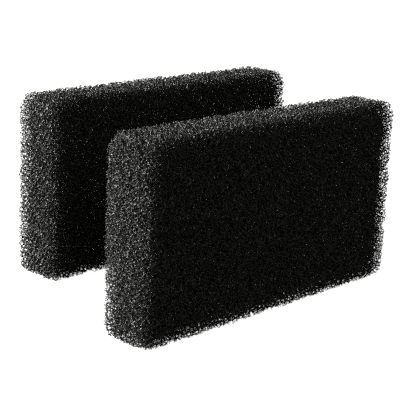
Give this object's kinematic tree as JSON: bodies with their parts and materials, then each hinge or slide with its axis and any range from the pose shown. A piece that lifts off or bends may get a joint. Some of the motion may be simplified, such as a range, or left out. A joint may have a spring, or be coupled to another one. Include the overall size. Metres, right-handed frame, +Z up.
{
  "type": "sponge filter",
  "caption": "Matching rectangular filter pads of coarse black open-cell foam that strain water in a pond or aquarium filter.",
  "frame": {"origin": "middle of the set on the plane that both pads stand on, halfway between the middles of the two pads", "axes": "+Z up, +X along the length of the pads, -Y is the way the broad face of the front pad looks"},
  "size_m": [0.224, 0.134, 0.1],
  "materials": {
    "filter_foam": "coarse open-cell reticulated polyurethane foam, black, dull with faint glints on the strands"
  },
  "bodies": {
    "front": {"front_pad": "filter_foam"},
    "rear": {"rear_pad": "filter_foam"}
  },
  "joints": [
    {"name": "rear_pad_lift", "type": "slide", "parent": "front", "child": "rear", "axis": [0, 0, 1], "range_m": [0, 0.12]}
  ]
}
